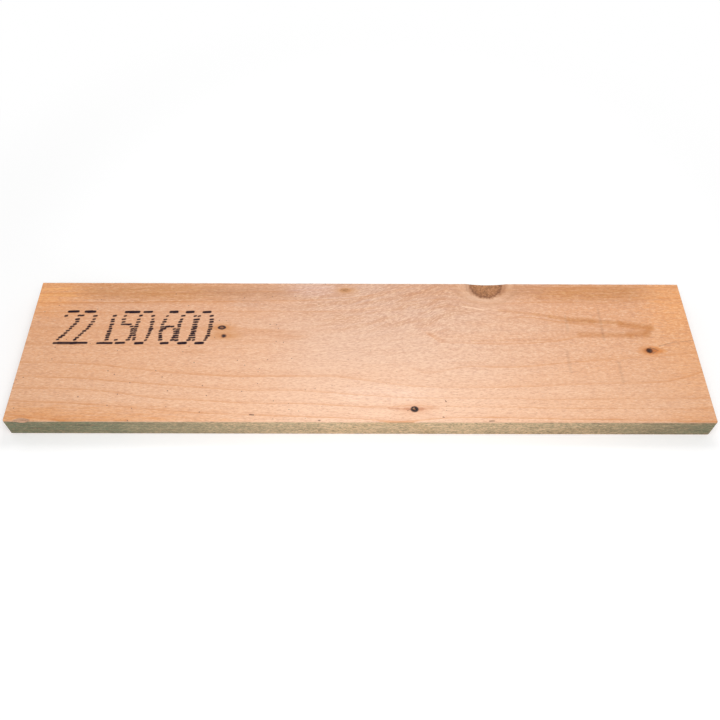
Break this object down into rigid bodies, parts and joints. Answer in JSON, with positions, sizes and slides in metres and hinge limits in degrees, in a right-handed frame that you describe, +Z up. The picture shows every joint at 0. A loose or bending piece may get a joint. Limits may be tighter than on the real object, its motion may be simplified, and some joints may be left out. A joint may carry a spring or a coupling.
{
  "type": "timber plank",
  "caption": "Short planed softwood board for joinery, shelving and packing, cut square, with eased long arrises, knots in its upper face and a splinter torn from one arris.",
  "frame": {"origin": "centre of the lower face", "axes": "+X along the board's length, with the grain; +Y across its width, to the edge with the large knot; +Z up, through its thickness"},
  "size_m": [0.6, 0.15, 0.022],
  "materials": {
    "softwood": "matte"
  },
  "bodies": {
    "root": {"plank": "softwood"}
  },
  "joints": []
}
